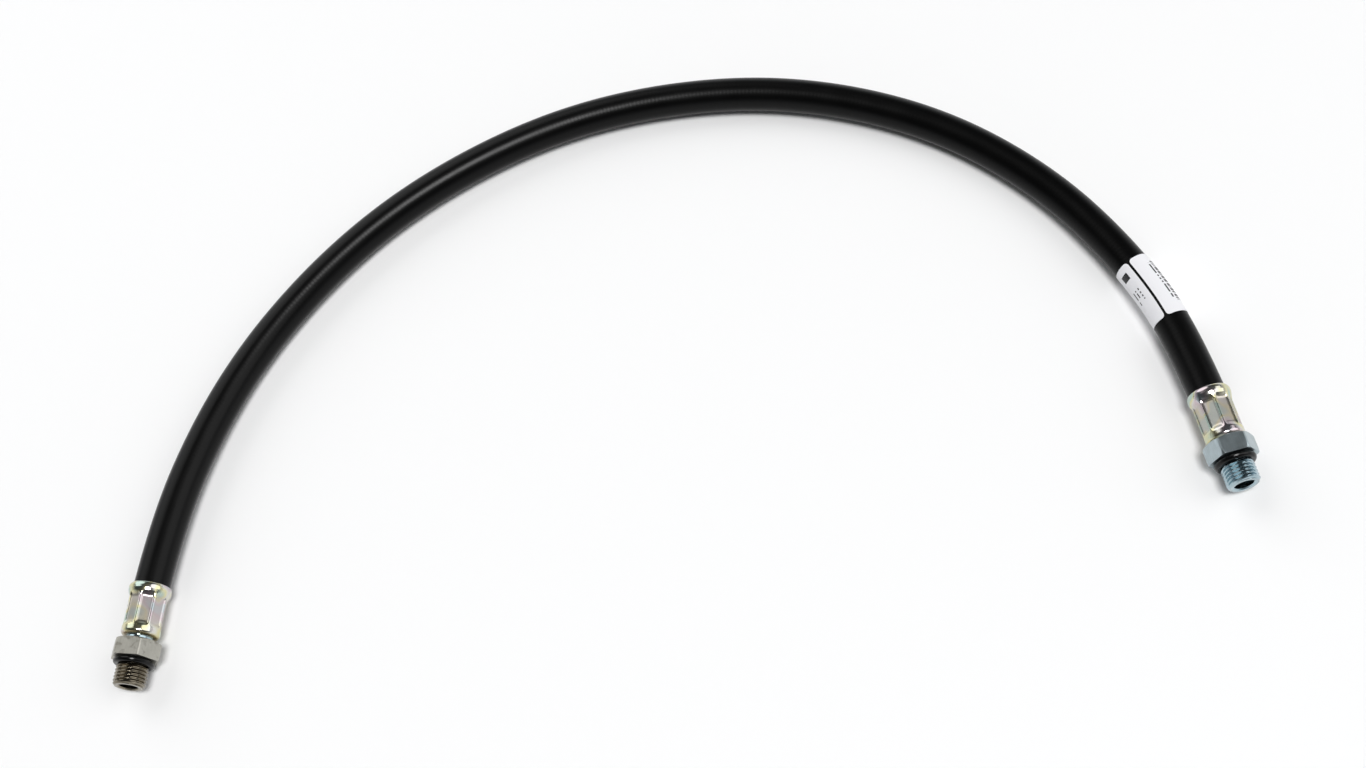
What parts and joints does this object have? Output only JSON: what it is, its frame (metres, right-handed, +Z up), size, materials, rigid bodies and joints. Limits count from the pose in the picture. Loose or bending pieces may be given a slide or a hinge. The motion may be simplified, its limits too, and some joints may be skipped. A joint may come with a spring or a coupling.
{
  "type": "hydraulic hose assembly",
  "caption": "Wire-braided rubber hydraulic hose lying in a wide arc, with a crimped male threaded stud and port O-ring on each end; one stud is rigid, the other swivels.",
  "frame": {"origin": "middle of the box round the two end fittings, on the surface that the assembly lies on", "axes": "+X from the swivel end towards the rigid end, +Y towards the top of the hose's arc, +Z up from the surface"},
  "size_m": [0.4897, 0.2521, 0.019],
  "materials": {
    "cover_rubber": "smooth wrapped synthetic rubber, satin",
    "tube_rubber": "smooth nitrile rubber",
    "braid_wire": "brass-coated high-tensile wire, braided",
    "label_film": "white vinyl film, satin",
    "ferrule_zinc": "zinc plated and passivated to a faint straw iridescence",
    "insert_zinc": "zinc plated, clear blue passivated",
    "stud_plate": "dull nickel-zinc plated",
    "seal_rubber": "moulded nitrile rubber",
    "seal_plastic": "sintered PTFE",
    "spring_wire": "drawn spring steel"
  },
  "bodies": {
    "hose_and_rigid_end": {"hose_inner_tube": "tube_rubber", "hose_wire_braid": "braid_wire", "hose_cover": "cover_rubber", "hose_label": "label_film", "rigid_end_insert": "insert_zinc", "rigid_end_ferrule": "ferrule_zinc", "rigid_port_ring": "seal_rubber", "swivel_end_insert": "insert_zinc", "swivel_end_ferrule": "ferrule_zinc", "swivel_seal_ring": "seal_rubber", "swivel_backup_ring": "seal_plastic"},
    "swivel": {"swivel_stud": "stud_plate", "swivel_snap_ring": "spring_wire", "swivel_port_ring": "seal_rubber"}
  },
  "joints": [
    {"name": "stud_swivel", "type": "hinge", "parent": "hose_and_rigid_end", "child": "swivel", "pos_m": [-0.23319, -0.00478, 0.0095], "axis": [-0.2425, -0.9701, 0], "continuous": true}
  ]
}
